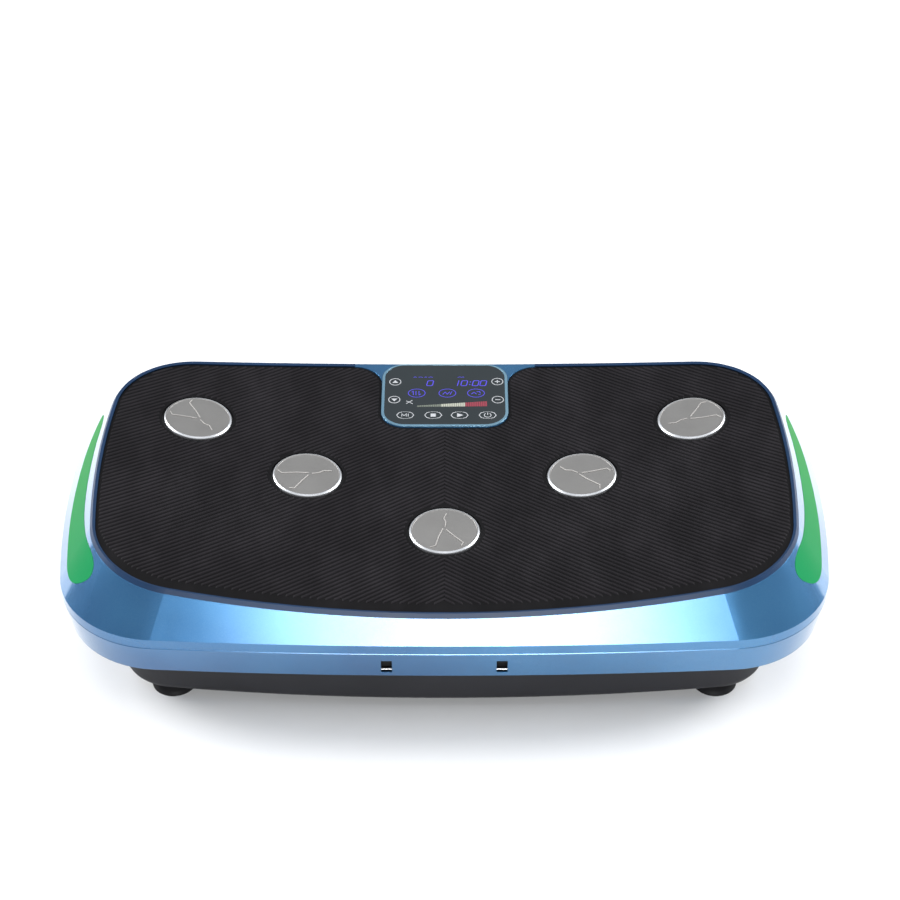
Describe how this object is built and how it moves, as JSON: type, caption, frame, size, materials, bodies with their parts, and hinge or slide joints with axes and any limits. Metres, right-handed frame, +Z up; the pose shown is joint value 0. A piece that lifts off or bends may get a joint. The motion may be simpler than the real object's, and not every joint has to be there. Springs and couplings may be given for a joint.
{
  "type": "vibration plate",
  "caption": "Curved rocking vibration plate: dished ribbed mat on a flared shell, touch display, side lights and a crank-driven rocking platform over a floor tray on suction feet.",
  "frame": {"origin": "on the floor under the middle of the plate", "axes": "+X across the feet to the user's right, +Y towards the display at the back, +Z up"},
  "size_m": [0.772, 0.442, 0.1573],
  "materials": {
    "blue_shell": "glossy metallic blue lacquer",
    "trim_blue": "dark blue, satin",
    "mat_rubber": "matt black, ribbed",
    "foot_rubber": "matt black",
    "buffer_rubber": "matt black",
    "disc_metal": "satin, bright edge",
    "display_glass": "gloss black with lit symbols",
    "bezel_light": "pale blue, glossy",
    "circuit_green": "solder mask",
    "black_plastic": "fine grain",
    "lens_green": "translucent green",
    "led_white": "white board",
    "bright_steel": "zinc plated",
    "frame_steel": "black powder coat",
    "cast_block": "as cast, machined bore",
    "bronze": "bearing bronze",
    "motor_paint": "grey enamel",
    "copper_winding": "enamelled copper",
    "alloy": "die cast",
    "belt_rubber": "matt black"
  },
  "bodies": {
    "platform": {"upper_shell": "blue_shell", "lower_shell": "blue_shell", "mat_trim": "trim_blue", "foot_mat": "mat_rubber", "mat_discs": "disc_metal", "display_glass": "display_glass", "display_bezel": "bezel_light", "display_housing": "black_plastic", "display_board": "circuit_green", "side_light_lens_left": "lens_green", "side_light_lens_right": "lens_green", "side_light_strips": "led_white", "band_anchor_bars": "bright_steel", "shell_screws": "bright_steel", "front_rail": "frame_steel", "rear_rail": "frame_steel", "cross_tubes": "frame_steel", "rod_beams": "frame_steel", "rod_pin": "bright_steel", "pivot_pins": "bright_steel", "pin_clips": "bright_steel", "frame_bolts": "bright_steel", "pulse_motor_can": "motor_paint", "pulse_stator": "copper_winding", "pulse_motor_bracket": "frame_steel"},
    "base": {"base_shell": "black_plastic", "base_plate": "frame_steel", "suction_feet": "foot_rubber", "foot_bolts": "bright_steel", "pivot_block_front": "cast_block", "pivot_block_rear": "cast_block", "pivot_bushes": "bronze", "crank_block_front": "cast_block", "crank_block_rear": "cast_block", "crank_bushes": "bronze", "block_bolts": "bright_steel", "buffer_stands": "frame_steel", "rubber_buffers": "buffer_rubber", "motor_can": "motor_paint", "motor_end_cap": "alloy", "motor_stator": "copper_winding", "motor_cradle": "alloy", "motor_straps": "bright_steel", "drive_belt": "belt_rubber", "control_board": "circuit_green", "board_standoffs": "bronze", "mains_filter": "black_plastic", "power_panel": "black_plastic", "inlet_pins": "bright_steel"},
    "crank": {"crank_shaft": "bright_steel", "crank_pulley": "alloy"},
    "rod": {"connecting_rod": "alloy", "rod_bearing": "bronze", "rod_bush": "buffer_rubber"},
    "motor": {"motor_rotor": "bright_steel", "motor_pulley": "alloy"},
    "pulse_motor": {"pulse_shaft": "bright_steel", "pulse_weights": "bright_steel"},
    "power_switch": {"power_rocker": "black_plastic"}
  },
  "joints": [
    {"name": "platform_rock", "type": "hinge", "parent": "base", "child": "platform", "pos_m": [0, 0, 0.075], "axis": [0, 1, 0], "range_deg": [-1.5, 1.5], "stiffness_Nm_per_rad": 2000, "deforming": ["rubber_buffers"]},
    {"name": "crank_spin", "type": "hinge", "parent": "base", "child": "crank", "pos_m": [0.118, 0, 0.052], "axis": [0, 1, 0], "continuous": true},
    {"name": "rod_upright", "type": "hinge", "parent": "crank", "child": "rod", "pos_m": [0.121, -0.031, 0.052], "axis": [0, 1, 0], "continuous": true, "deforming": ["rod_bush"]},
    {"name": "motor_spin", "type": "hinge", "parent": "base", "child": "motor", "pos_m": [-0.11, 0, 0.062], "axis": [0, 1, 0], "continuous": true},
    {"name": "pulse_spin", "type": "hinge", "parent": "platform", "child": "pulse_motor", "pos_m": [-0.235, 0, 0.084], "axis": [0, 1, 0], "continuous": true},
    {"name": "power_rocker_tilt", "type": "hinge", "parent": "base", "child": "power_switch", "pos_m": [0.108, 0.196, 0.038], "axis": [0, 0, 1], "range_deg": [-16, 0]}
  ],
  "couplings": [
    {"joint": "rod_upright", "follows": "crank_spin", "ratio": -1},
    {"joint": "motor_spin", "follows": "crank_spin", "ratio": 2.5}
  ]
}
